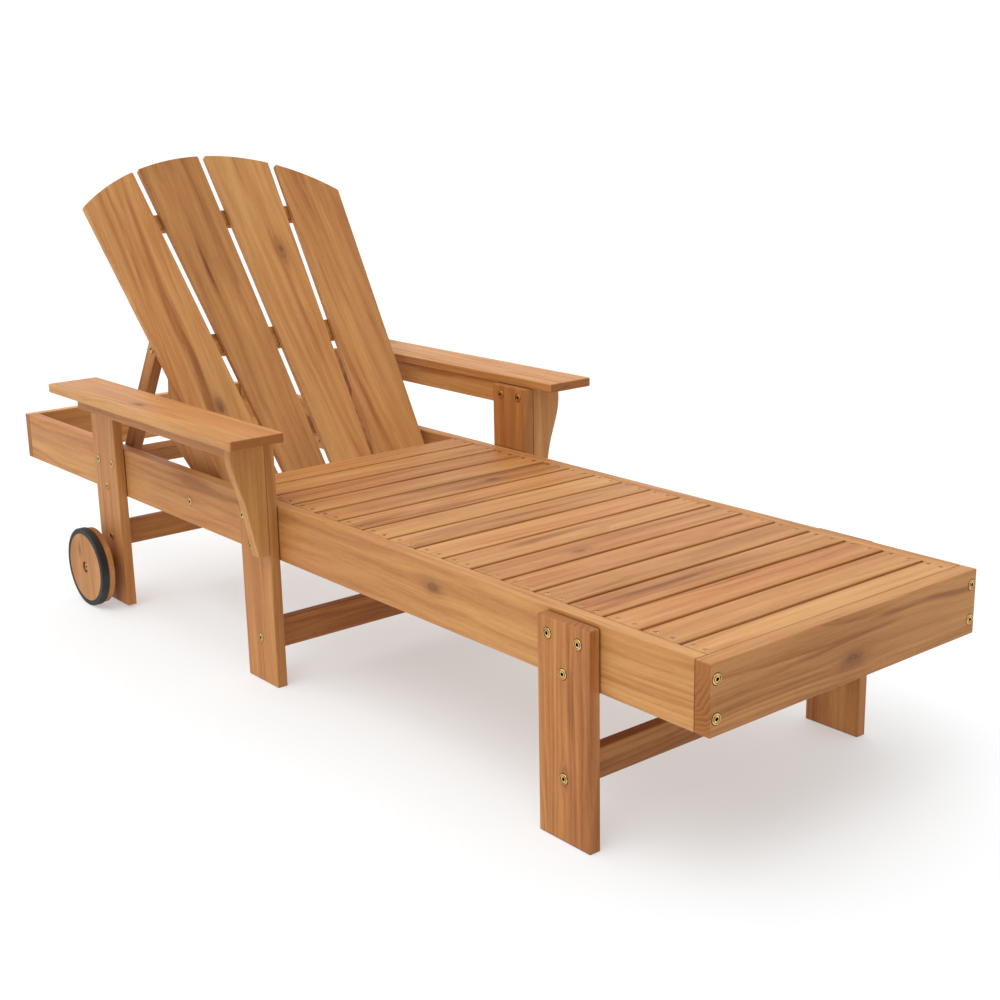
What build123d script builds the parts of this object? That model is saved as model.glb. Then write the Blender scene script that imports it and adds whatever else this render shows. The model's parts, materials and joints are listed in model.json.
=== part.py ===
"""Reclining sun lounger of slatted hardwood on four legs and two rear wheels.

Millimetres. +Z up, the head end towards +Y, the foot end towards -Y. The origin lies on the
floor under the middle of the lounger. "Right" is the right-hand side of a person lying on it (-X).
The backrest is drawn flat in its own plane and tilted into place at the end.
"""
import math
import os

from build123d import *

# ---- edge rounding of the boards ----
EDGE_ROUND = 2.0
THIN_ROUND = 1.5
RIM_ROUND = 1.0
TYRE_ROUND = 2.5

# ---- overall frame ----
HALF_LENGTH = 1000.0
RAIL_OUTER = 270.0
RAIL_THICK = 22.0
RAIL_INNER = RAIL_OUTER - RAIL_THICK
RAIL_TOP = 318.0
RAIL_BOTTOM = 223.0
FOOT_BOARD_THICK = 26.0
HEAD_BOARD_THICK = 20.0
FOOT_INNER_Y = -HALF_LENGTH + FOOT_BOARD_THICK
HEAD_INNER_Y = HALF_LENGTH - HEAD_BOARD_THICK
END_BOLT_HEIGHTS = (246.0, 297.0)

# ---- seat ----
SLAT_THICK = 18.0
SLAT_WIDTH = 62.0
SLAT_PITCH = 68.0
SLAT_COUNT = 17
SEAT_REAR_Y = 157.0
SLAT_UNDERSIDE = RAIL_TOP - SLAT_THICK
CLEAT_WIDTH = 22.0
CLEAT_DEPTH = 30.0

# ---- legs and stretchers: centre along Y, bottom, top, stretcher height and depth, bolt pattern ----
LEG_THICK = 19.0
LEG_OUTER = RAIL_OUTER + LEG_THICK
POST_TOP = 437.0
FOOT_LEG = dict(
    y=-760.5, width=101.0, bottom=0.0, top=312.0, bolt_y=-759.5, spread=29.5,
    stretcher_z=101.0, stretcher_depth=46.0, stretcher_bolt_z=92.0,
)
FRONT_POST = dict(
    y=12.5, width=95.0, bottom=0.0, top=POST_TOP, bolt_y=28.0, spread=22.0,
    stretcher_z=81.0, stretcher_depth=52.0, stretcher_bolt_z=79.0,
)
REAR_POST = dict(
    y=574.5, width=95.0, bottom=4.0, top=POST_TOP, bolt_y=574.5, spread=29.0,
    stretcher_z=141.0, stretcher_depth=48.0, stretcher_bolt_z=138.0,
)
STRETCHER_THICK = 20.0
LEG_BOLT_UPPER_Z = 289.0
LEG_BOLT_LOWER_Z = 240.0
ARM_BOLT_OFFSET = 25.0
ARM_BOLT_Z = 419.0

# ---- arms ----
ARM_INNER = 283.0
ARM_OUTER = 382.0
ARM_THICK = 16.0
ARM_FRONT_Y = -92.0
ARM_REAR_Y = 592.0
ARM_CORNER = 5.0
ARM_RAIL_WIDTH = 38.0
ARM_RAIL_DEPTH = 40.0
BRACKET_THICK = 20.0
BRACKET_FRONT_Y = -36.0
BRACKET_BOTTOM = 236.0
BRACKET_PROFILE = ((311.0, 236.0), (325.0, 304.0), (331.0, 331.0), (350.0, 392.0), (352.0, 421.0))

# ---- backrest, in its own plane: u along X, s up the slope, n out of the front face ----
REST_ANGLE = 53.4
BACK_FOOT_Y = 236.0
BACK_THICK = 12.0
BACK_BOTTOM_S = -95.0
BACK_TOP_S = 672.0
BACK_ARC_RADIUS = 457.0
BACK_EDGE_AT_SEAT = 228.0
BACK_EDGE_SLOPE = 0.098
BACK_GAP_AT_SEAT = 106.0
BACK_GAP_SLOPE = 0.0715
BACK_GAP = 14.0
BACK_CORNER = 3.0
BATTEN_THICK = 16.0
TOP_BATTEN = dict(s0=517.0, s1=551.0, half=255.0)
MIDDLE_BATTEN = dict(s0=240.0, s1=283.0, half=198.0)
STILE_INNER = 198.0
STILE_OUTER = 218.0
STILE_PROFILE = (
    (-48.0, -BACK_THICK), (304.0, -BACK_THICK), (304.0, -56.0),
    (232.0, -62.0), (150.0, -138.0), (120.0, -132.0), (60.0, -110.0), (-48.0, -92.0),
)
STILE_CORNER = 8.0

# ---- pivots and prop ----
PIVOT_Y = 271.0
PIVOT_Z = 265.0
PROP_PIVOT_Y = 434.0
PROP_PIVOT_Z = 521.0
PROP_INNER = 220.0
PROP_OUTER = 240.0
PROP_WIDTH = 32.0
PROP_BAR_FROM_FOOT = 26.0
PROP_BAR_WIDTH = 38.0
PROP_BAR_THICK = 20.0
RACK_TOP = 248.4
RACK_DEPTH = 25.0
RACK_FRONT_Y = 450.0
RACK_REAR_Y = 920.0
RACK_NOTCH_WIDTH = 34.0
RACK_NOTCH_DEPTH = 10.0
RACK_NOTCH_COUNT = 5
RACK_NOTCH_PITCH = 62.0

# ---- wheels ----
WHEEL_Y = 600.0
WHEEL_Z = 78.0
WHEEL_OUTER = 339.0
TYRE_INNER = 323.0
FLANGE_INNER = 311.0
TYRE_RADIUS = 78.0
FLANGE_RADIUS = 75.5
CORE_RADIUS = 68.0
TYRE_SEAT = 0.05
HUB_RECESS_RADIUS = 11.0
HUB_RECESS_DEPTH = 5.0
AXLE_RADIUS = 5.0
AXLE_RUNNING_FIT = 0.05
AXLE_SLEEVE_RADIUS = 11.0
END_PLAY = 0.3

# ---- fasteners ----
BOLT_HEAD_RADIUS = 7.5
BOLT_HEAD_THICK = 2.6
BOLT_SINK = 1.6
BOLT_SEAT_RADIUS = 8.3
BOLT_GROOVE_OUTER = 6.0
BOLT_GROOVE_INNER = 4.4
BOLT_GROOVE_DEPTH = 0.8
BOLT_RADIUS = 3.0
BOLT_LENGTH = 38.0
BOLT_COLLAR_RADIUS = 4.0
BOLT_HOLE_RADIUS = 3.2
HEX_RADIUS = 3.0
HEX_DEPTH = 4.5
SCREW_HEAD_RADIUS = 3.6
SCREW_HEAD_THICK = 1.6
SCREW_SINK = 0.4
SCREW_RADIUS = 1.8
SCREW_LENGTH = 34.0
SCREW_HOLE_RADIUS = 2.0
SCREW_SEAT_RADIUS = 3.9
SCREW_INSET = 9.0
SCREW_SPREAD = 15.0
LAST_SCREW_SPREAD = 10.0
PIVOT_RADIUS = 4.0
SLEEVE_RADIUS = 9.0

SIDES = (("right", -1), ("left", 1))

os.makedirs("parts", exist_ok=True)


def save(shape, node):
    """Write one node's solids as a STEP file."""
    export_step(shape, f"parts/{node}.step")


def span(x0, x1, y0, y1, z0, z1):
    """A plain board between two corners."""
    size = (abs(x1 - x0), abs(y1 - y0), abs(z1 - z0))
    centre = ((x0 + x1) / 2, (y0 + y1) / 2, (z0 + z1) / 2)
    return Pos(*centre) * Box(*size)


def board(x0, x1, y0, y1, z0, z1, rounding=EDGE_ROUND):
    """A sawn board with all its edges softened."""
    blank = span(x0, x1, y0, y1, z0, z1)
    return fillet(blank.edges(), rounding)


def rod(start, direction, radius, length):
    """A cylinder from a start point along a direction."""
    plane = Plane(origin=start, z_dir=direction)
    return plane * Cylinder(radius, length, align=(Align.CENTER, Align.CENTER, Align.MIN))


def bolt(face, direction, length=BOLT_LENGTH, radius=BOLT_RADIUS, sink=BOLT_SINK):
    """A flat-headed furniture bolt with a hex socket, its head sunk below the face point."""
    plane = Plane(origin=face, z_dir=direction)
    low = (Align.CENTER, Align.CENTER, Align.MIN)
    top = (Align.CENTER, Align.CENTER, Align.MAX)
    head = Cylinder(BOLT_HEAD_RADIUS, BOLT_HEAD_THICK, align=top)
    rim = head.edges().filter_by(GeomType.CIRCLE).sort_by(Axis.Z)[0]
    head = fillet(rim, 0.8)
    groove = Cylinder(BOLT_GROOVE_OUTER, BOLT_GROOVE_DEPTH) - Cylinder(BOLT_GROOVE_INNER, BOLT_GROOVE_DEPTH)
    groove = Pos(0, 0, BOLT_GROOVE_DEPTH / 2 - BOLT_HEAD_THICK) * groove
    socket_floor = HEX_DEPTH - BOLT_HEAD_THICK
    socket = Pos(0, 0, socket_floor) * extrude(RegularPolygon(HEX_RADIUS, 6), -HEX_DEPTH)
    shank = Cylinder(radius, length - sink, align=low)
    whole = head + shank + Cylinder(BOLT_COLLAR_RADIUS, HEX_DEPTH, align=low) - groove - socket
    return plane * (Pos(0, 0, sink) * whole)


def bolt_hole(face, direction, length=BOLT_LENGTH, radius=BOLT_HOLE_RADIUS):
    """A bolt's stepped hole: a shallow seat for its head, then room for collar and shank."""
    x, y, z = face
    dx, dy, dz = direction
    seat = rod((x - dx, y - dy, z - dz), direction, BOLT_SEAT_RADIUS, 1 + BOLT_SINK)
    collar = rod(face, direction, BOLT_COLLAR_RADIUS + 0.2, BOLT_SINK + HEX_DEPTH + 0.3)
    return seat + collar + rod(face, direction, radius, length + 0.5)


def frame_bolt_seats():
    """Every bolt of the frame as (seat point, direction into the wood)."""
    seats = []
    for _, side in SIDES:
        inward = (-side, 0, 0)
        outer = side * LEG_OUTER
        for leg in (FOOT_LEG, FRONT_POST, REAR_POST):
            bolt_y = leg["bolt_y"]
            seats.append(((outer, bolt_y - leg["spread"], LEG_BOLT_UPPER_Z), inward))
            seats.append(((outer, bolt_y + leg["spread"], LEG_BOLT_UPPER_Z), inward))
            seats.append(((outer, bolt_y, LEG_BOLT_LOWER_Z), inward))
            seats.append(((outer, leg["y"], leg["stretcher_bolt_z"]), inward))
        for post in (FRONT_POST, REAR_POST):
            for offset in (-ARM_BOLT_OFFSET, ARM_BOLT_OFFSET):
                seats.append(((side * RAIL_OUTER, post["y"] + offset, ARM_BOLT_Z), (side, 0, 0)))
        for height in END_BOLT_HEIGHTS:
            end_x = side * (RAIL_OUTER - RAIL_THICK / 2)
            seats.append(((end_x, -HALF_LENGTH, height), (0, 1, 0)))
            seats.append(((end_x, HALF_LENGTH, height), (0, -1, 0)))
    return seats


def slat_span(index):
    """Front and rear Y of one seat slat; the last one is cut to reach the foot board."""
    rear = SEAT_REAR_Y - SLAT_PITCH * index
    front = max(rear - SLAT_WIDTH, FOOT_INNER_Y)
    if index == SLAT_COUNT - 1:
        front = FOOT_INNER_Y
    return front, rear


def screw_points():
    """The seat screws: two near each end of every slat."""
    points = []
    for index in range(SLAT_COUNT):
        front, rear = slat_span(index)
        spread = LAST_SCREW_SPREAD if index == SLAT_COUNT - 1 else SCREW_SPREAD
        for _, side in SIDES:
            for offset in (-spread, spread):
                x = side * (RAIL_INNER - SCREW_INSET)
                points.append((x, (front + rear) / 2 + offset, RAIL_TOP))
    return points


def screw(point):
    """A countersunk wood screw, its head just below the face."""
    x, y, z = point
    head_top = z - SCREW_SINK
    head = rod((x, y, head_top), (0, 0, -1), SCREW_HEAD_RADIUS, SCREW_HEAD_THICK)
    shank = rod((x, y, head_top), (0, 0, -1), SCREW_RADIUS, SCREW_LENGTH)
    slot = Pos(x, y, head_top) * Box(0.9, 2 * SCREW_HEAD_RADIUS - 2, 1.2)
    cross = Pos(x, y, head_top) * Box(2 * SCREW_HEAD_RADIUS - 2, 0.9, 1.2)
    return head + shank - slot - cross


def screw_hole(point):
    """The stepped hole that takes one seat screw."""
    x, y, z = point
    seat = rod((x, y, z + 1), (0, 0, -1), SCREW_SEAT_RADIUS, 1 + SCREW_SINK + SCREW_HEAD_THICK)
    shank = rod((x, y, z), (0, 0, -1), SCREW_HOLE_RADIUS, SCREW_LENGTH + 1)
    return seat + shank


def drill(wood, holes):
    """Cut only the holes that reach a piece of wood."""
    box = wood.bounding_box()
    for hole in holes:
        other = hole.bounding_box()
        apart = (
            other.min.X > box.max.X or other.max.X < box.min.X
            or other.min.Y > box.max.Y or other.max.Y < box.min.Y
            or other.min.Z > box.max.Z or other.max.Z < box.min.Z
        )
        if not apart:
            wood = wood - hole
    return wood


BOLT_SEATS = frame_bolt_seats()
BOLT_HOLES = [bolt_hole(seat, direction) for seat, direction in BOLT_SEATS]
SCREW_POINTS = screw_points()
SCREW_HOLES = [screw_hole(point) for point in SCREW_POINTS]


def pivot_hole(side):
    """The stepped hole in a side rail for the backrest's pivot bolt, whose head is outside."""
    return bolt_hole((side * RAIL_OUTER, PIVOT_Y, PIVOT_Z), (-side, 0, 0), RAIL_THICK, PIVOT_RADIUS)


def make_rails():
    for name, side in SIDES:
        rail = board(side * RAIL_INNER, side * RAIL_OUTER, FOOT_INNER_Y, HEAD_INNER_Y, RAIL_BOTTOM, RAIL_TOP)
        save(drill(rail, BOLT_HOLES + [pivot_hole(side)]), f"{name}_side_rail")
    foot = board(-RAIL_OUTER, RAIL_OUTER, -HALF_LENGTH, FOOT_INNER_Y, RAIL_BOTTOM, RAIL_TOP)
    head = board(-RAIL_OUTER, RAIL_OUTER, HEAD_INNER_Y, HALF_LENGTH, RAIL_BOTTOM, RAIL_TOP)
    save(drill(foot, BOLT_HOLES), "foot_board")
    save(drill(head, BOLT_HOLES), "head_board")


def make_seat():
    for index in range(SLAT_COUNT):
        front, rear = slat_span(index)
        slat = board(-RAIL_INNER, RAIL_INNER, front, rear, SLAT_UNDERSIDE, RAIL_TOP)
        save(drill(slat, SCREW_HOLES), f"seat_slat_{index + 1:02d}")
    for name, side in SIDES:
        inner = side * (RAIL_INNER - CLEAT_WIDTH)
        cleat_bottom = SLAT_UNDERSIDE - CLEAT_DEPTH
        cleat = board(inner, side * RAIL_INNER, FOOT_INNER_Y, SEAT_REAR_Y, cleat_bottom, SLAT_UNDERSIDE)
        save(drill(cleat, BOLT_HOLES + SCREW_HOLES), f"{name}_seat_cleat")


def make_legs():
    for leg_name, leg in (("foot_leg", FOOT_LEG), ("front_post", FRONT_POST), ("rear_post", REAR_POST)):
        front = leg["y"] - leg["width"] / 2
        rear = leg["y"] + leg["width"] / 2
        for name, side in SIDES:
            leg_board = board(side * RAIL_OUTER, side * LEG_OUTER, front, rear, leg["bottom"], leg["top"])
            holes = list(BOLT_HOLES)
            if leg is REAR_POST:
                holes.append(axle_hole(side))
            save(drill(leg_board, holes), f"{name}_{leg_name}")
    for stretcher_name, leg in (("foot", FOOT_LEG), ("front", FRONT_POST), ("rear", REAR_POST)):
        half = STRETCHER_THICK / 2
        low = leg["stretcher_z"] - leg["stretcher_depth"] / 2
        high = leg["stretcher_z"] + leg["stretcher_depth"] / 2
        stretcher = board(-RAIL_OUTER, RAIL_OUTER, leg["y"] - half, leg["y"] + half, low, high)
        save(drill(stretcher, BOLT_HOLES), f"{stretcher_name}_stretcher")


def make_arms():
    rail_front = BRACKET_FRONT_Y + BRACKET_THICK
    for name, side in SIDES:
        arm = span(side * ARM_INNER, side * ARM_OUTER, ARM_FRONT_Y, ARM_REAR_Y, POST_TOP, POST_TOP + ARM_THICK)
        arm = fillet(arm.edges().filter_by(Axis.Z), ARM_CORNER)
        arm = fillet(arm.edges(), EDGE_ROUND)
        save(arm, f"{name}_armrest")
        rail_outer = side * (LEG_OUTER + ARM_RAIL_WIDTH)
        rail = board(side * LEG_OUTER, rail_outer, rail_front, ARM_REAR_Y, POST_TOP - ARM_RAIL_DEPTH, POST_TOP)
        save(drill(rail, BOLT_HOLES), f"{name}_arm_rail")
        save(make_bracket(side), f"{name}_arm_bracket")


def make_bracket(side):
    """A curved corbel under the front of the arm."""
    curve = [(side * x, z) for x, z in BRACKET_PROFILE]
    top_outer = (side * BRACKET_PROFILE[-1][0], POST_TOP)
    top_inner = (side * LEG_OUTER, POST_TOP)
    bottom_inner = (side * LEG_OUTER, BRACKET_BOTTOM)
    outline = Spline(*curve)
    outline += Polyline(curve[-1], top_outer, top_inner, bottom_inner, curve[0])
    plane = Plane(origin=(0, BRACKET_FRONT_Y, 0), x_dir=(1, 0, 0), z_dir=(0, -1, 0))
    bracket = extrude(plane * make_face(outline), -BRACKET_THICK)
    return fillet(bracket.edges(), EDGE_ROUND)


def edge_at(s):
    """Half-width of the fan of backrest slats at a height up the slope."""
    return BACK_EDGE_AT_SEAT + BACK_EDGE_SLOPE * s


def gap_at(s):
    """Distance of the side gap's middle from the centre line."""
    return BACK_GAP_AT_SEAT + BACK_GAP_SLOPE * s


def tilt(shape):
    """Move a shape from the backrest's own plane to its rest place."""
    return Pos(0, BACK_FOOT_Y, RAIL_TOP) * (Rot(REST_ANGLE, 0, 0) * shape)


def in_back_plane(y, z):
    """A frame point as (s, n) in the backrest's own plane."""
    angle = math.radians(REST_ANGLE)
    dy = y - BACK_FOOT_Y
    dz = z - RAIL_TOP
    return dy * math.cos(angle) + dz * math.sin(angle), -dy * math.sin(angle) + dz * math.cos(angle)


def back_slat(inner, outer):
    """One tapered slat between two edge functions, its top cut to the common arc."""
    low = BACK_BOTTOM_S
    high = BACK_TOP_S + 10
    corners = [(inner(low), low), (outer(low), low), (outer(high), high), (inner(high), high)]
    blank = extrude(make_face(Polyline(*corners, close=True)), -BACK_THICK)
    disc = Pos(0, BACK_TOP_S - BACK_ARC_RADIUS, 0) * Circle(BACK_ARC_RADIUS)
    trim = extrude(disc, -BACK_THICK)
    below = Pos(0, low, -BACK_THICK / 2) * Box(800, 800, BACK_THICK)
    slat = blank & (trim + below)
    slat = fillet(slat.edges().filter_by(Axis.Z), BACK_CORNER)
    return fillet(slat.edges(), EDGE_ROUND)


def stile_blank(side):
    """A hinge stile behind the slats, deepest round the backrest's pivot."""
    plane = Plane(origin=(side * STILE_INNER, 0, 0), x_dir=(0, 1, 0), z_dir=(1, 0, 0))
    face = make_face(Polyline(*STILE_PROFILE, close=True))
    blank = extrude(plane * face, side * (STILE_OUTER - STILE_INNER))
    blank = fillet(blank.edges().filter_by(Axis.X), STILE_CORNER)
    return fillet(blank.edges(), THIN_ROUND)


def make_backrest():
    half_gap = BACK_GAP / 2
    fan = (
        ("backrest_slat_1", lambda s: -edge_at(s), lambda s: -gap_at(s) - half_gap),
        ("backrest_slat_2", lambda s: -gap_at(s) + half_gap, lambda s: -half_gap),
        ("backrest_slat_3", lambda s: half_gap, lambda s: gap_at(s) - half_gap),
        ("backrest_slat_4", lambda s: gap_at(s) + half_gap, lambda s: edge_at(s)),
    )
    for node, inner, outer in fan:
        save(tilt(back_slat(inner, outer)), node)
    for node, batten in (("backrest_top_batten", TOP_BATTEN), ("backrest_middle_batten", MIDDLE_BATTEN)):
        half = batten["half"]
        bar = board(-half, half, batten["s0"], batten["s1"], -BACK_THICK - BATTEN_THICK, -BACK_THICK)
        save(tilt(bar), node)
    for name, side in SIDES:
        stile = tilt(stile_blank(side))
        holes = [
            rod((0, PIVOT_Y, PIVOT_Z), (side, 0, 0), PIVOT_RADIUS + AXLE_RUNNING_FIT, 300),
            rod((0, PROP_PIVOT_Y, PROP_PIVOT_Z), (side, 0, 0), PIVOT_RADIUS, 300),
        ]
        save(drill(stile, holes), f"{name}_hinge_stile")


def prop_foot():
    """Centre of the prop's lower end: level with the backrest pivot, as far beyond the
    prop pivot as the backrest pivot is before it."""
    return 2 * PROP_PIVOT_Y - PIVOT_Y, PIVOT_Z


def in_prop_plane(shape):
    """Move a shape drawn along +Y from the prop pivot to its rest place."""
    foot_y, foot_z = prop_foot()
    angle = math.degrees(math.atan2(foot_z - PROP_PIVOT_Z, foot_y - PROP_PIVOT_Y))
    return Pos(0, PROP_PIVOT_Y, PROP_PIVOT_Z) * (Rot(angle, 0, 0) * shape)


def make_prop():
    foot_y, foot_z = prop_foot()
    length = math.hypot(foot_y - PROP_PIVOT_Y, foot_z - PROP_PIVOT_Z)
    for name, side in SIDES:
        arm = span(side * PROP_INNER, side * PROP_OUTER, 0, length, -PROP_WIDTH / 2, PROP_WIDTH / 2)
        start = side * PROP_INNER
        for y in (0, length):
            arm += rod((start, y, 0), (side, 0, 0), PROP_WIDTH / 2, PROP_OUTER - PROP_INNER)
        arm = fillet(arm.edges(), THIN_ROUND)
        arm = arm - rod((0, 0, 0), (side, 0, 0), PIVOT_RADIUS + AXLE_RUNNING_FIT, 300)
        save(in_prop_plane(arm), f"{name}_prop_arm")
    bar_half = PROP_BAR_WIDTH / 2
    thick_half = PROP_BAR_THICK / 2
    centre = length - PROP_BAR_FROM_FOOT
    bar = board(-PROP_INNER, PROP_INNER, centre - bar_half, centre + bar_half, -thick_half, thick_half)
    save(in_prop_plane(bar), "prop_crossbar")


def make_racks():
    for name, side in SIDES:
        inner = side * (RAIL_INNER - CLEAT_WIDTH + 2)
        rack = board(inner, side * RAIL_INNER, RACK_FRONT_Y, RACK_REAR_Y, RACK_TOP - RACK_DEPTH, RACK_TOP)
        foot_y, _ = prop_foot()
        for step in range(RACK_NOTCH_COUNT):
            y = foot_y + RACK_NOTCH_PITCH * step - RACK_NOTCH_PITCH
            top = RACK_TOP + 1
            floor = RACK_TOP - RACK_NOTCH_DEPTH
            notch = span(inner, side * RAIL_INNER, y, y + RACK_NOTCH_WIDTH / 2, floor, top)
            rack = rack - notch
        save(drill(rack, BOLT_HOLES), f"{name}_rack_rail")


def axle_hole(side):
    """The hole in a rear post for the wheel's axle bolt."""
    return rod((side * (RAIL_OUTER - 1), WHEEL_Y, WHEEL_Z), (side, 0, 0), AXLE_RADIUS + 0.2, LEG_THICK + 2)


def make_wheels():
    for name, side in SIDES:
        outward = (side, 0, 0)
        centre = (side * FLANGE_INNER, WHEEL_Y, WHEEL_Z)
        tyre_start = (side * TYRE_INNER, WHEEL_Y, WHEEL_Z)
        band = WHEEL_OUTER - TYRE_INNER
        core = rod(centre, outward, FLANGE_RADIUS, TYRE_INNER - FLANGE_INNER)
        core += rod(tyre_start, outward, CORE_RADIUS, band)
        recess_start = (side * (WHEEL_OUTER - HUB_RECESS_DEPTH), WHEEL_Y, WHEEL_Z)
        core -= rod(recess_start, outward, HUB_RECESS_RADIUS, HUB_RECESS_DEPTH + 1)
        rims = core.edges().filter_by(GeomType.CIRCLE).group_by(Axis.X)
        core = fillet(rims[0] + rims[-1], RIM_ROUND)
        core -= rod((side * 300, WHEEL_Y, WHEEL_Z), outward, AXLE_RADIUS + AXLE_RUNNING_FIT, 60)
        save(core, f"{name}_wheel_core")
        tyre = rod(tyre_start, outward, TYRE_RADIUS, band)
        tyre = tyre - rod(tyre_start, outward, CORE_RADIUS + TYRE_SEAT, band)
        tread_edges = tyre.edges().filter_by(GeomType.CIRCLE).sort_by(SortBy.RADIUS)[-2:]
        save(fillet(tread_edges, TYRE_ROUND), f"{name}_tyre")


def wheel_axle(side):
    """An axle bolt and the sleeve that spaces the wheel off the post."""
    head_seat = side * (WHEEL_OUTER - HUB_RECESS_DEPTH + END_PLAY)
    inward = (-side, 0, 0)
    length = abs(head_seat) - RAIL_OUTER - 2
    axle = bolt((head_seat, WHEEL_Y, WHEEL_Z), inward, length, AXLE_RADIUS, sink=0)
    sleeve_start = (side * LEG_OUTER, WHEEL_Y, WHEEL_Z)
    sleeve_length = FLANGE_INNER - LEG_OUTER - END_PLAY
    sleeve = rod(sleeve_start, (side, 0, 0), AXLE_SLEEVE_RADIUS, sleeve_length)
    sleeve = sleeve - rod(sleeve_start, (side, 0, 0), AXLE_RADIUS + AXLE_RUNNING_FIT, sleeve_length)
    return [axle, sleeve]


def pivot_bolt(side):
    """The bolt that the backrest turns on, and the sleeve between rail and stile."""
    inward = (-side, 0, 0)
    pivot = bolt((side * RAIL_OUTER, PIVOT_Y, PIVOT_Z), inward, RAIL_OUTER - STILE_INNER, PIVOT_RADIUS)
    sleeve_start = (side * RAIL_INNER, PIVOT_Y, PIVOT_Z)
    sleeve_length = RAIL_INNER - STILE_OUTER - END_PLAY
    sleeve = rod(sleeve_start, inward, SLEEVE_RADIUS, sleeve_length)
    sleeve = sleeve - rod(sleeve_start, inward, PIVOT_RADIUS + AXLE_RUNNING_FIT, sleeve_length)
    return [pivot, sleeve]


def prop_bolt(side):
    """The bolt that holds one prop arm to its stile."""
    face = (side * (PROP_OUTER + END_PLAY), PROP_PIVOT_Y, PROP_PIVOT_Z)
    return bolt(face, (-side, 0, 0), PROP_OUTER + END_PLAY - STILE_INNER, PIVOT_RADIUS, sink=0)


def make_fasteners():
    save(Compound(children=[bolt(seat, direction) for seat, direction in BOLT_SEATS]), "frame_bolts")
    save(Compound(children=[screw(point) for point in SCREW_POINTS]), "seat_screws")
    axles = [solid for _, side in SIDES for solid in wheel_axle(side)]
    save(Compound(children=axles), "wheel_axles")
    pivots = [solid for _, side in SIDES for solid in pivot_bolt(side)]
    save(Compound(children=pivots), "backrest_pivot_bolts")
    save(Compound(children=[prop_bolt(side) for _, side in SIDES]), "prop_bolts")


make_rails()
make_seat()
make_legs()
make_arms()
make_backrest()
make_prop()
make_racks()
make_wheels()
make_fasteners()
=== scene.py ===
"""Looks of the reclining sun lounger: oiled hardwood boards, brass fasteners and rubber tyres.

Metres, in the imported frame: +Z up, head end towards +Y, right-hand side of a lying person at -X.
Every board keeps its CAD shape and has its own cut of the same wood.
"""
import json
import math
import random

import bpy
from mathutils import Euler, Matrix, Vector

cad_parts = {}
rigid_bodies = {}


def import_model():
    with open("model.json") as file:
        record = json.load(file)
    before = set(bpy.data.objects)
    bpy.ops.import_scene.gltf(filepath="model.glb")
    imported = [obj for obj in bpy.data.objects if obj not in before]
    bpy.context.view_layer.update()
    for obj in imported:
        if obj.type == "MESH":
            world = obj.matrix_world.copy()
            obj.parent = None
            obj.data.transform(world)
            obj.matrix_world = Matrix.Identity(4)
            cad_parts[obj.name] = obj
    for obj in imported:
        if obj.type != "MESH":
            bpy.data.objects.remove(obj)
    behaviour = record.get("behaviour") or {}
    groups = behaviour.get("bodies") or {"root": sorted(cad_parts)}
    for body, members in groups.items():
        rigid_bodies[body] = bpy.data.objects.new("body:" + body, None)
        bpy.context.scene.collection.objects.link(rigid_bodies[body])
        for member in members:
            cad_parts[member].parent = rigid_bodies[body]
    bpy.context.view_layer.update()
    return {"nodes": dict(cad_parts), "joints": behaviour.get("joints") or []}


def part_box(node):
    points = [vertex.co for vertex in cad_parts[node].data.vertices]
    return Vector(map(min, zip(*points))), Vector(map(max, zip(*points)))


for startup_object in list(bpy.data.objects):
    bpy.data.objects.remove(startup_object)

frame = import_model()
NODES = frame["nodes"]
JOINTS = {joint["name"]: joint for joint in frame["joints"]}

SEED = 11
BACKREST_ANGLE = 53.4

# ---- directions in which boards run, as angles in the YZ plane ----
RECLINE = JOINTS["backrest_recline"]
SLOPE = math.radians(BACKREST_ANGLE)
BACK_PIVOT = Vector(RECLINE["pos_m"])
PROP_PIVOT = Vector(JOINTS["prop_swing"]["pos_m"])
PROP_ANGLE = -math.atan2(PROP_PIVOT.z - BACK_PIVOT.z, PROP_PIVOT.y - BACK_PIVOT.y)
LENGTHWISE = 0.0
UPRIGHT = math.pi / 2
CROSSWISE = None


def middle(node):
    """Centre of a CAD node's box."""
    low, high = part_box(node)
    return (low + high) / 2


# ---------------------------------------------------------------- node graph helper

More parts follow.
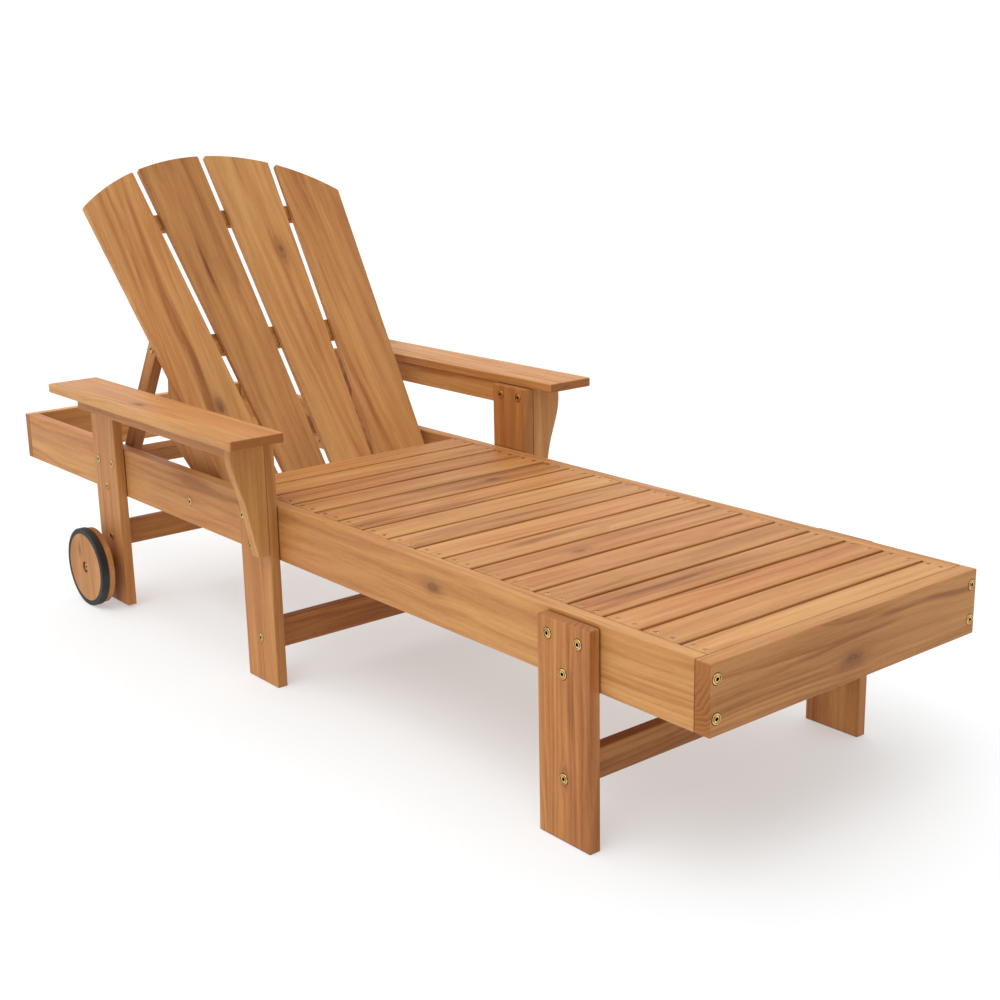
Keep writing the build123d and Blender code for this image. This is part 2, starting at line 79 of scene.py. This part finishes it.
class Graph:
    """Short calls for building a shader tree; a socket or a plain number goes in as an input."""

    def __init__(self, tree):
        self.tree = tree

    def add(self, kind, inputs=(), **settings):
        node = self.tree.nodes.new(kind)
        for name, value in settings.items():
            setattr(node, name, value)
        for key, value in dict(inputs).items():
            self.feed(node.inputs[key], value)
        return node

    def feed(self, socket, value):
        if isinstance(value, bpy.types.NodeSocket):
            self.tree.links.new(value, socket)
        else:
            socket.default_value = value

    def math(self, operation, a, b=0.0):
        node = self.add("ShaderNodeMath", operation=operation)
        for socket, value in zip(node.inputs, (a, b)):
            self.feed(socket, value)
        return node.outputs[0]

    def vector(self, operation, a, b=(0.0, 0.0, 0.0)):
        node = self.add("ShaderNodeVectorMath", operation=operation)
        self.feed(node.inputs[0], a)
        self.feed(node.inputs[1], b)
        return node.outputs["Value" if operation in ("LENGTH", "DOT_PRODUCT") else "Vector"]

    def split(self, vector):
        return self.add("ShaderNodeSeparateXYZ", {0: vector}).outputs

    def join(self, x, y, z):
        return self.add("ShaderNodeCombineXYZ", {0: x, 1: y, 2: z}).outputs[0]

    def noise(self, vector, stretch, detail=3.0, roughness=0.55, output="Fac"):
        place = self.vector("MULTIPLY", vector, stretch)
        inputs = {"Vector": place, "Scale": 1.0, "Detail": detail, "Roughness": roughness}
        return self.add("ShaderNodeTexNoise", inputs).outputs[output]

    def fit(self, value, low, high, to_low=0.0, to_high=1.0, smooth=True):
        kind = "SMOOTHSTEP" if smooth else "LINEAR"
        inputs = {0: value, 1: low, 2: high, 3: to_low, 4: to_high}
        return self.add("ShaderNodeMapRange", inputs, interpolation_type=kind).outputs[0]

    def ramp(self, value, stops):
        node = self.add("ShaderNodeValToRGB", {0: value})
        elements = node.color_ramp.elements
        for _ in range(len(stops) - 2):
            elements.new(0.5)
        for element, (place, colour) in zip(elements, stops):
            element.position = place
            element.color = (*colour, 1.0)
        return node.outputs[0]

    def mix(self, factor, a, b, blend="MIX"):
        node = self.add("ShaderNodeMix", data_type="RGBA", blend_type=blend)
        self.feed(node.inputs[0], factor)
        self.feed(node.inputs[6], a)
        self.feed(node.inputs[7], b)
        return node.outputs[2]


# ---------------------------------------------------------------- hardwood

WOOD_STOPS = (
    (0.00, (0.052, 0.014, 0.003)),
    (0.22, (0.168, 0.051, 0.011)),
    (0.48, (0.328, 0.121, 0.029)),
    (0.74, (0.470, 0.203, 0.057)),
    (1.00, (0.590, 0.298, 0.097)),
)
KNOT_COLOUR = (0.105, 0.038, 0.011, 1.0)
# Painted shade and grime: the colour that narrow gaps, joints and rims round bolts are darkened towards, and
# how far.
SHADE_AND_GRIME_COLOUR = (0.050, 0.020, 0.007, 1.0)
SHADE_AND_GRIME_SHARE = 0.75
CREVICE_REACH = 0.006

# Knots: place as a share of the board's box, then radius. A knot runs through the board's wide face.
THROUGH_TOP = (0.42, 1.0, 0.0)
THROUGH_SIDE = (0.42, 0.0, 1.0)
NO_KNOT = ((60.0, 60.0, 60.0), 0.0001)
KNOTS = {
    "right_side_rail": ((0.0, 0.265, 0.60), 0.009),
    "left_side_rail": ((0.0, 0.60, 0.40), 0.009),
    "foot_board": ((0.50, 0.0, 0.34), 0.011),
    "right_foot_leg": ((0.0, 0.50, 0.30), 0.006),
    "left_foot_leg": ((0.0, 0.45, 0.34), 0.008),
    "right_armrest": ((0.35, 0.55, 1.0), 0.008),
    "backrest_slat_1": ((0.62, 0.30, 0.30), 0.011),
    "backrest_slat_3": ((0.60, 0.70, 0.70), 0.010),
    "seat_slat_05": ((0.70, 0.50, 1.0), 0.008),
    "seat_slat_11": ((0.35, 0.40, 1.0), 0.009),
    "right_wheel_core": ((0.0, 0.62, 0.72), 0.006),
}


# Noise scales, as turns per metre along the fibres and in the two directions across them.
WANDER_SCALE = (1.7, 9.0, 9.0)
UNEVEN_SCALE = (1.6, 26.0, 26.0)
RING_PATCH_SCALE = (2.0, 16.0, 16.0)
STREAK_SCALE = (2.4, 70.0, 70.0)
DARK_STREAK_SCALE = (1.5, 34.0, 34.0)
FIBRE_SCALE = (16.0, 620.0, 620.0)
PORE_SCALE = (55.0, 1500.0, 1500.0)
BLOTCH_SCALE = (1.3, 7.0, 7.0)
WARMTH_SCALE = (0.9, 5.0, 5.0)
KNOT_GRAIN_SCALE = (90.0, 130.0, 130.0)

# How far fibres stray and rings swell: metres across the board, then numbers of rings.
SEED_SHIFT = (7.31, 3.17, 5.93)
NOISE_MIDDLE = (0.5, 0.5, 0.5)
WANDER_REACH = (0.0, 0.045, 0.045)
UNEVEN_RINGS = 3.4
KNOT_RINGS = 2.6
HALO_FADE = -0.9
KNOT_PUSH = -1.1

# Place on the colour ramp: a start, a step per tone, then each field's weight and neutral level.
BASE_VALUE = 0.66
TONE_STEP = 0.16
WEIGHTS = {
    "blotch": (0.50, 0.5), "streak": (0.86, 0.5), "ring": (-0.14, 0.3), "dark streak": (-0.32, 0.2),
    "fibre": (0.26, 0.5), "pore": (-0.14, 0.2), "halo": (-0.16, 0.0),
}
WARM_COLOUR = (0.50, 0.185, 0.066, 1.0)
WARM_SHARE = 0.18
END_TINT = (0.84, 0.74, 0.64, 1.0)
END_RING = 0.20
END_BLOTCH = 0.3

BASE_ROUGHNESS = 0.48
FIBRE_ROUGHNESS = 0.16
RING_ROUGHNESS = 0.09
BLOTCH_SHEEN = 0.08
FIBRE_HEIGHT = 0.55
PORE_DEPTH = 0.6
RING_HEIGHT = 0.35
SMALLEST_KNOT = 0.0001
WOOD_BUMP = {"Distance": 0.0005, "Strength": 0.45}
WOOD_SPECULAR = 0.30

# Ranges that each board's random draws come from: where its pith lies, ring width, tone and seed.
PITH_SHIFT = 0.05
PITH_DEPTH = (0.03, 0.11)
PITH_LEAN = 0.05
RING_WIDTH = (0.007, 0.014)
TONE_SPREAD = 0.55
HIGHEST_SEED = 40.0

WOOD_INPUTS = (
    ("Place", "NodeSocketVector"), ("Normal", "NodeSocketVector"), ("Pith", "NodeSocketVector"),
    ("Knot", "NodeSocketVector"), ("Knot reach", "NodeSocketVector"), ("Knot size", "NodeSocketFloat"),
    ("Ring", "NodeSocketFloat"), ("Tone and shade", "NodeSocketFloat"), ("Seed", "NodeSocketFloat"),
)
WOOD_OUTPUTS = (
    ("Color", "NodeSocketColor"), ("Roughness", "NodeSocketFloat"), ("Height", "NodeSocketFloat"),
)


def knot_fields(g, given, place):
    """The knot's heart and halo, and the place pushed away from it, as fibres part round a knot."""
    away = g.vector("SUBTRACT", place, given["Knot"])
    to_knot = g.vector("MULTIPLY", away, given["Knot reach"])
    size = g.math("MAXIMUM", given["Knot size"], SMALLEST_KNOT)
    reach = g.math("DIVIDE", g.vector("LENGTH", to_knot), size)
    heart = g.math("EXPONENT", g.math("MULTIPLY", g.math("MULTIPLY", reach, reach), -1.0))
    halo = g.math("EXPONENT", g.math("MULTIPLY", reach, HALO_FADE))
    push = g.add("ShaderNodeVectorMath", operation="SCALE")
    g.feed(push.inputs[0], g.vector("NORMALIZE", to_knot))
    g.feed(push.inputs["Scale"], g.math("MULTIPLY", halo, g.math("MULTIPLY", given["Knot size"], KNOT_PUSH)))
    return heart, halo, g.vector("ADD", place, push.outputs[0])


def ring_field(g, given, wavy, wavy_seeded, seeded, heart):
    """Growth rings: distance from a pith line that leans across the board."""
    x, y, z = g.split(wavy)
    pith_y, pith_z, lean = g.split(given["Pith"])
    off_y = g.math("SUBTRACT", g.math("SUBTRACT", y, pith_y), g.math("MULTIPLY", x, lean))
    off_z = g.math("SUBTRACT", z, pith_z)
    radius = g.vector("LENGTH", g.join(off_y, off_z, 0.0))
    phase = g.math("ADD", g.math("DIVIDE", radius, given["Ring"]), g.math("MULTIPLY", heart, KNOT_RINGS))
    uneven = g.math("MULTIPLY", g.noise(wavy_seeded, UNEVEN_SCALE), UNEVEN_RINGS)
    cycle = g.math("FRACT", g.math("ADD", phase, uneven))
    ring = g.math("SUBTRACT", g.fit(cycle, 0.15, 0.86), g.fit(cycle, 0.88, 1.0))
    patch = g.fit(g.noise(seeded, RING_PATCH_SCALE, detail=1.0), 0.38, 0.70, 0.08, 1.0)
    return g.math("MULTIPLY", ring, patch)


def weighed(g, start, field, weight, neutral):
    """Add a field to a running value; at its neutral level it adds nothing."""
    return g.math("ADD", start, g.math("MULTIPLY", g.math("SUBTRACT", field, neutral), weight))


def long_grain_colour(g, given, seeded, fields):
    """Colour of the faces along the fibres, before the knot."""
    value = g.math("ADD", BASE_VALUE, g.math("MULTIPLY", given["Tone and shade"], TONE_STEP))
    for name, (weight, neutral) in WEIGHTS.items():
        value = weighed(g, value, fields[name], weight, neutral)
    warmth = g.fit(g.noise(seeded, WARMTH_SCALE, detail=1.0), 0.42, 0.72, 0.0, WARM_SHARE)
    return g.mix(warmth, g.ramp(value, WOOD_STOPS), WARM_COLOUR, "SOFT_LIGHT")


def end_grain_colour(g, fields):
    """Sawn ends drink more oil: darker, and ringed instead of streaked."""
    value = g.math("SUBTRACT", BASE_VALUE, g.math("MULTIPLY", fields["ring"], END_RING))
    value = weighed(g, value, fields["blotch"], END_BLOTCH, NOISE_MIDDLE[0])
    return g.mix(1.0, g.ramp(value, WOOD_STOPS), END_TINT, "MULTIPLY")


def hardwood_group():
    """Solid wood around a pith line: rings, streaks, fibres, pores and one knot."""
    tree = bpy.data.node_groups.new("Hardwood", "ShaderNodeTree")
    for sockets, in_out in ((WOOD_INPUTS, "INPUT"), (WOOD_OUTPUTS, "OUTPUT")):
        for name, kind in sockets:
            tree.interface.new_socket(name, in_out=in_out, socket_type=kind)
    g = Graph(tree)
    given = g.add("NodeGroupInput").outputs
    shift = g.vector("MULTIPLY", g.join(given["Seed"], given["Seed"], given["Seed"]), SEED_SHIFT)
    heart, halo, place = knot_fields(g, given, given["Place"])
    seeded = g.vector("ADD", place, shift)
    stray = g.vector("SUBTRACT", g.noise(seeded, WANDER_SCALE, detail=2.0, output="Color"), NOISE_MIDDLE)
    wavy = g.vector("ADD", place, g.vector("MULTIPLY", stray, WANDER_REACH))
    wavy_seeded = g.vector("ADD", wavy, shift)

    fields = {
        "halo": halo,
        "ring": ring_field(g, given, wavy, wavy_seeded, seeded, heart),
        "streak": g.noise(wavy_seeded, STREAK_SCALE, detail=5.0, roughness=0.62),
        "dark streak": g.fit(g.noise(wavy_seeded, DARK_STREAK_SCALE), 0.56, 0.74),
        "fibre": g.noise(seeded, FIBRE_SCALE, roughness=0.6),
        "pore": g.fit(g.noise(seeded, PORE_SCALE, detail=1.0), 0.60, 0.72),
        "blotch": g.noise(seeded, BLOTCH_SCALE, detail=2.0),
    }
    core = g.math("MULTIPLY", heart, g.fit(g.noise(seeded, KNOT_GRAIN_SCALE), 0.25, 0.6, 0.25, 0.72))
    colour = g.mix(core, long_grain_colour(g, given, seeded, fields), KNOT_COLOUR)
    end = g.fit(g.math("ABSOLUTE", g.split(given["Normal"])[0]), 0.62, 0.86)
    colour = g.mix(end, colour, end_grain_colour(g, fields))

    rough = g.math("ADD", BASE_ROUGHNESS, g.math("MULTIPLY", fields["fibre"], FIBRE_ROUGHNESS))
    ring_or_end = g.math("ADD", fields["ring"], end)
    rough = g.math("ADD", rough, g.math("MULTIPLY", ring_or_end, RING_ROUGHNESS))
    rough = g.math("SUBTRACT", rough, g.math("MULTIPLY", fields["blotch"], BLOTCH_SHEEN))
    fibre_height = g.math("MULTIPLY", fields["fibre"], FIBRE_HEIGHT)
    height = g.math("SUBTRACT", fibre_height, g.math("MULTIPLY", fields["pore"], PORE_DEPTH))
    height = g.math("ADD", height, g.math("MULTIPLY", fields["ring"], RING_HEIGHT))
    result = g.add("NodeGroupOutput")
    for (name, _), value in zip(WOOD_OUTPUTS, (colour, rough, height)):
        g.feed(result.inputs[name], value)
    return tree


WOOD = hardwood_group()


def new_material(name):
    """A node material with only its shader, and the graph to build it with."""
    material = bpy.data.materials.new(name)
    material.use_nodes = True
    material.node_tree.nodes.clear()
    g = Graph(material.node_tree)
    shader = g.add("ShaderNodeBsdfPrincipled")
    g.add("ShaderNodeOutputMaterial", {"Surface": shader.outputs[0]})
    return material, g, shader.inputs


def board_frame(node, run):
    """Rotation and offset that put a board's own length on X, its middle at the origin."""
    turn = Euler((0.0, 0.0, 0.0)) if run is CROSSWISE else Euler((-run, 0.0, -math.pi / 2))
    return turn, -(turn.to_matrix() @ middle(node))


def crevice_shade(g):
    """Painted shade mask from ambient occlusion: 0 where the surface lies open, 1 deep in a narrow gap or a
    socket.
    """
    openness = g.add("ShaderNodeAmbientOcclusion", {"Distance": CREVICE_REACH}).outputs["AO"]
    return g.fit(openness, 0.25, 0.85, 1.0, 0.0)


def wood_material(node, run, rng, tone_and_shade):
    """One board's wood: the shared group read along the board's own length."""
    material, g, shader = new_material("wood_" + node)
    turn, offset = board_frame(node, run)
    source = g.add("ShaderNodeTexCoord").outputs
    place = g.add("ShaderNodeMapping", {"Vector": source["Object"], "Rotation": turn, "Location": offset})
    facing = g.add("ShaderNodeMapping", {"Vector": source["Normal"], "Rotation": turn}, vector_type="VECTOR")
    pith_y = rng.uniform(-PITH_SHIFT, PITH_SHIFT)
    pith_z = rng.choice((-1, 1)) * rng.uniform(*PITH_DEPTH)
    pith = (pith_y, pith_z, rng.uniform(-PITH_LEAN, PITH_LEAN))
    wood = g.add("ShaderNodeGroup", node_tree=WOOD)
    share, knot_size = KNOTS.get(node, NO_KNOT)
    low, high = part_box(node)
    knot = turn.to_matrix() @ Vector(a + (b - a) * part for a, b, part in zip(low, high, share)) + offset
    lies_flat = "slat" in node or "armrest" in node
    for name, value in (
        ("Place", place.outputs[0]), ("Normal", facing.outputs[0]), ("Pith", pith), ("Knot", knot),
        ("Knot reach", THROUGH_TOP if lies_flat else THROUGH_SIDE),
        ("Knot size", knot_size), ("Ring", rng.uniform(*RING_WIDTH)),
        ("Tone and shade", tone_and_shade + rng.uniform(-TONE_SPREAD, TONE_SPREAD)), ("Seed", rng.uniform(0.0, HIGHEST_SEED)),
    ):
        g.feed(wood.inputs[name], value)
    bump = g.add("ShaderNodeBump", {"Height": wood.outputs["Height"], **WOOD_BUMP})
    # Painted shade and grime: the wood darkens in narrow gaps, joints and round bolt heads, where shade
    # falls.
    shade_and_grime = g.math("MULTIPLY", crevice_shade(g), SHADE_AND_GRIME_SHARE)
    g.feed(shader["Base Color"], g.mix(shade_and_grime, wood.outputs["Color"], SHADE_AND_GRIME_COLOUR))
    g.feed(shader["Roughness"], wood.outputs["Roughness"])
    g.feed(shader["Normal"], bump.outputs[0])
    shader["Specular IOR Level"].default_value = WOOD_SPECULAR
    return material


def paint(node, material):
    """Put one material on every slot of a CAD node."""
    for slot in NODES[node].material_slots:
        slot.material = material


# ---------------------------------------------------------------- brass, rubber

BRASS_BRIGHT = (0.82, 0.53, 0.20, 1.0)
BRASS_TARNISHED = (0.45, 0.26, 0.085, 1.0)
# Painted shade and grime: the colour the brass darkens to in its hex sockets and where it meets the wood.
BRASS_SHADE_AND_GRIME = (0.035, 0.022, 0.009, 1.0)
BRASS_ROUGHNESS = 0.20
BRASS_CLOUD_ROUGHNESS = 0.26
BRASS_CLOUD_SCALE = (160.0, 160.0, 160.0)
BRASS_SCRATCH_SCALE = (900.0, 900.0, 2600.0)
BRASS_BUMP = {"Distance": 0.0001, "Strength": 0.3}
RUBBER_BLACK = (0.016, 0.016, 0.017, 1.0)
RUBBER_DUSTY = (0.045, 0.042, 0.039, 1.0)
RUBBER_ROUGHNESS = 0.52
RUBBER_GRIT_ROUGHNESS = 0.25
RUBBER_GRIT_SCALE = (700.0, 700.0, 700.0)
RUBBER_DUST_SCALE = (22.0, 22.0, 22.0)
RUBBER_BUMP = {"Distance": 0.0003, "Strength": 0.35}
RUBBER_SPECULAR = 0.4


def brass_material():
    material, g, shader = new_material("brass")
    place = g.add("ShaderNodeTexCoord").outputs["Object"]
    cloud = g.noise(place, BRASS_CLOUD_SCALE)
    scratch = g.noise(place, BRASS_SCRATCH_SCALE, detail=2.0)
    tarnish = g.fit(cloud, 0.40, 0.72)
    colour = g.mix(tarnish, BRASS_BRIGHT, BRASS_TARNISHED)
    # Painted shade and grime: the brass is darkened in its sockets and at its rim, where shade falls.
    g.feed(shader["Base Color"], g.mix(crevice_shade(g), colour, BRASS_SHADE_AND_GRIME))
    clouding = g.math("MULTIPLY", cloud, BRASS_CLOUD_ROUGHNESS)
    g.feed(shader["Roughness"], g.math("ADD", BRASS_ROUGHNESS, clouding))
    bump = g.add("ShaderNodeBump", {"Height": scratch, **BRASS_BUMP})
    g.feed(shader["Normal"], bump.outputs[0])
    shader["Metallic"].default_value = 1.0
    return material


def rubber_material():
    material, g, shader = new_material("rubber")
    place = g.add("ShaderNodeTexCoord").outputs["Object"]
    grit = g.noise(place, RUBBER_GRIT_SCALE)
    dust = g.fit(g.noise(place, RUBBER_DUST_SCALE, detail=4.0), 0.45, 0.8)
    g.feed(shader["Base Color"], g.mix(dust, RUBBER_BLACK, RUBBER_DUSTY))
    grittiness = g.math("MULTIPLY", grit, RUBBER_GRIT_ROUGHNESS)
    g.feed(shader["Roughness"], g.math("ADD", RUBBER_ROUGHNESS, grittiness))
    bump = g.add("ShaderNodeBump", {"Height": grit, **RUBBER_BUMP})
    g.feed(shader["Normal"], bump.outputs[0])
    shader["Specular IOR Level"].default_value = RUBBER_SPECULAR
    return material


# ---------------------------------------------------------------- boards

def grain_run(node):
    """The direction in which a wooden node's fibres run."""
    if "hinge_stile" in node or "backrest_slat" in node:
        return SLOPE
    if "prop_arm" in node:
        return PROP_ANGLE
    if any(word in node for word in ("_leg", "_post", "bracket", "wheel_core")):
        return UPRIGHT
    if any(word in node for word in ("side_rail", "cleat", "armrest", "arm_rail", "rack_rail")):
        return LENGTHWISE
    return CROSSWISE


# Boards lighter or darker than the rest, as steps of tone away from the middle of the wood's range. Painted
# shade: prop_crossbar, the three stretchers, left_front_post, left_rear_post and the two prop arms are
# darkened to stand in for the deep shade they sit in, not for darker wood.
TONES_AND_SHADE = {
    "right_side_rail": 0.2, "left_side_rail": 0.1, "foot_board": 0.1, "seat_slat_03": -0.7,
    "right_armrest": 0.4, "left_armrest": 0.3, "right_foot_leg": -0.2, "prop_crossbar": -1.6,
    "foot_stretcher": -0.7, "front_stretcher": -1.2, "rear_stretcher": -1.0, "left_front_post": -1.1,
    "left_rear_post": -0.5, "right_arm_bracket": -0.3, "right_prop_arm": -0.9, "left_prop_arm": -0.8,
    "backrest_slat_1": -0.1, "backrest_slat_2": -0.1, "backrest_slat_3": 0.1, "backrest_slat_4": -0.1,
}
METAL_NODES = ("frame_bolts", "seat_screws", "wheel_axles", "backrest_pivot_bolts", "prop_bolts")


def wood_nodes():
    return [node for node in sorted(NODES) if node not in METAL_NODES and not node.endswith("_tyre")]


def dress_boards():
    rng = random.Random(SEED)
    for node in wood_nodes():
        paint(node, wood_material(node, grain_run(node), rng, TONES_AND_SHADE.get(node, 0.0)))


def dress_hardware():
    brass = brass_material()
    rubber = rubber_material()
    for node in METAL_NODES:
        paint(node, brass)
    for node in ("right_tyre", "left_tyre"):
        paint(node, rubber)


# ---------------------------------------------------------------- studio

FLOOR_SIZE = 120.0
FLOOR_TINT = (0.52, 0.54, 0.55)
FLOOR_GLOW = 0.42
SKY_LEAN = (0.0, 0.75, 0.55)
SKY_DIM = 0.12
SKY_BRIGHT = 1.38
KEY_FROM = (-0.50, -0.15, 1.0)
KEY_POWER = 1.1
KEY_SPREAD = 45.0
KEY_COLOUR = (1.0, 0.995, 0.985)
WHITE = (1.0, 1.0, 1.0, 1.0)
FLOOR_ROUGHNESS = 0.9
FLOOR_SPECULAR = 0.1
CAMERA_PLACE = (-1.507, -2.129, 0.973)
CAMERA_LENS = 54.39
CAMERA_SENSOR = 36.0
CAMERA_AZIMUTH = -39.26
CAMERA_TILT = 15.19
CAMERA_ROLL = -1.14


def floor():
    bpy.ops.mesh.primitive_plane_add(size=FLOOR_SIZE)
    plane = bpy.context.object
    plane.name = "studio_floor"
    material, g, shader = new_material("studio_floor")
    shader["Base Color"].default_value = (*FLOOR_TINT, 1.0)
    shader["Emission Color"].default_value = WHITE
    shader["Emission Strength"].default_value = FLOOR_GLOW
    shader["Roughness"].default_value = FLOOR_ROUGHNESS
    shader["Specular IOR Level"].default_value = FLOOR_SPECULAR
    plane.data.materials.append(material)


def studio_sky():
    """White light from all round, stronger from the head end and overhead than from the foot end."""
    world = bpy.data.worlds.new("studio")
    bpy.context.scene.world = world
    world.use_nodes = True
    g = Graph(world.node_tree)
    direction = g.add("ShaderNodeTexCoord").outputs["Generated"]
    lean = g.vector("DOT_PRODUCT", direction, SKY_LEAN)
    strength = g.fit(lean, -1.0, 1.0, SKY_DIM, SKY_BRIGHT, smooth=False)
    background = world.node_tree.nodes["Background"].inputs
    g.feed(background["Strength"], strength)
    background["Color"].default_value = WHITE


def key_light():
    light = bpy.data.lights.new("key", "SUN")
    light.energy = KEY_POWER
    light.angle = math.radians(KEY_SPREAD)
    light.color = KEY_COLOUR
    holder = bpy.data.objects.new("key", light)
    holder.rotation_euler = Vector(KEY_FROM).to_track_quat("Z", "Y").to_euler()
    bpy.context.scene.collection.objects.link(holder)


def camera():
    lens = bpy.data.cameras.new("camera")
    lens.lens = CAMERA_LENS
    lens.sensor_width = CAMERA_SENSOR
    holder = bpy.data.objects.new("camera", lens)
    holder.location = CAMERA_PLACE
    azimuth, tilt, roll = (math.radians(angle) for angle in (CAMERA_AZIMUTH, CAMERA_TILT, CAMERA_ROLL))
    look = Euler((math.pi / 2 - tilt, 0.0, azimuth)).to_matrix() @ Euler((0.0, 0.0, roll)).to_matrix()
    holder.rotation_euler = look.to_euler()
    bpy.context.scene.collection.objects.link(holder)
    bpy.context.scene.camera = holder


dress_boards()
dress_hardware()
floor()
studio_sky()
key_light()
camera()
bpy.context.scene.view_settings.view_transform = "Standard"
